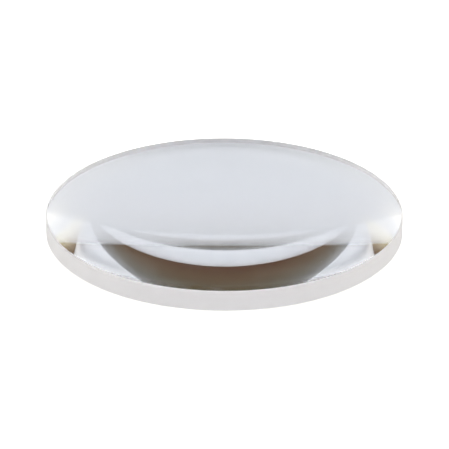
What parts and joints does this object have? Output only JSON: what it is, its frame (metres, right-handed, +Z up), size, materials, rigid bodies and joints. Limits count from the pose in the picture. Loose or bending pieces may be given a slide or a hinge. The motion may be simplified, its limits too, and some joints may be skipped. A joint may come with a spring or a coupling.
{
  "type": "biconvex lens",
  "caption": "Round lens of clear glass, convex and polished on both faces, with a straight fine-ground edge and a small bevel along each rim.",
  "frame": {"origin": "centre of the lens: on the optical axis, half way up the ground edge", "axes": "+Z up along the optical axis, through the upper face; X and Y across the lens, alike because it is round"},
  "size_m": [0.0508, 0.0508, 0.0066],
  "materials": {
    "lens_glass": "clear optical glass, polished on both faces and fine-ground on the edge"
  },
  "bodies": {
    "root": {"lens": "lens_glass"}
  },
  "joints": []
}
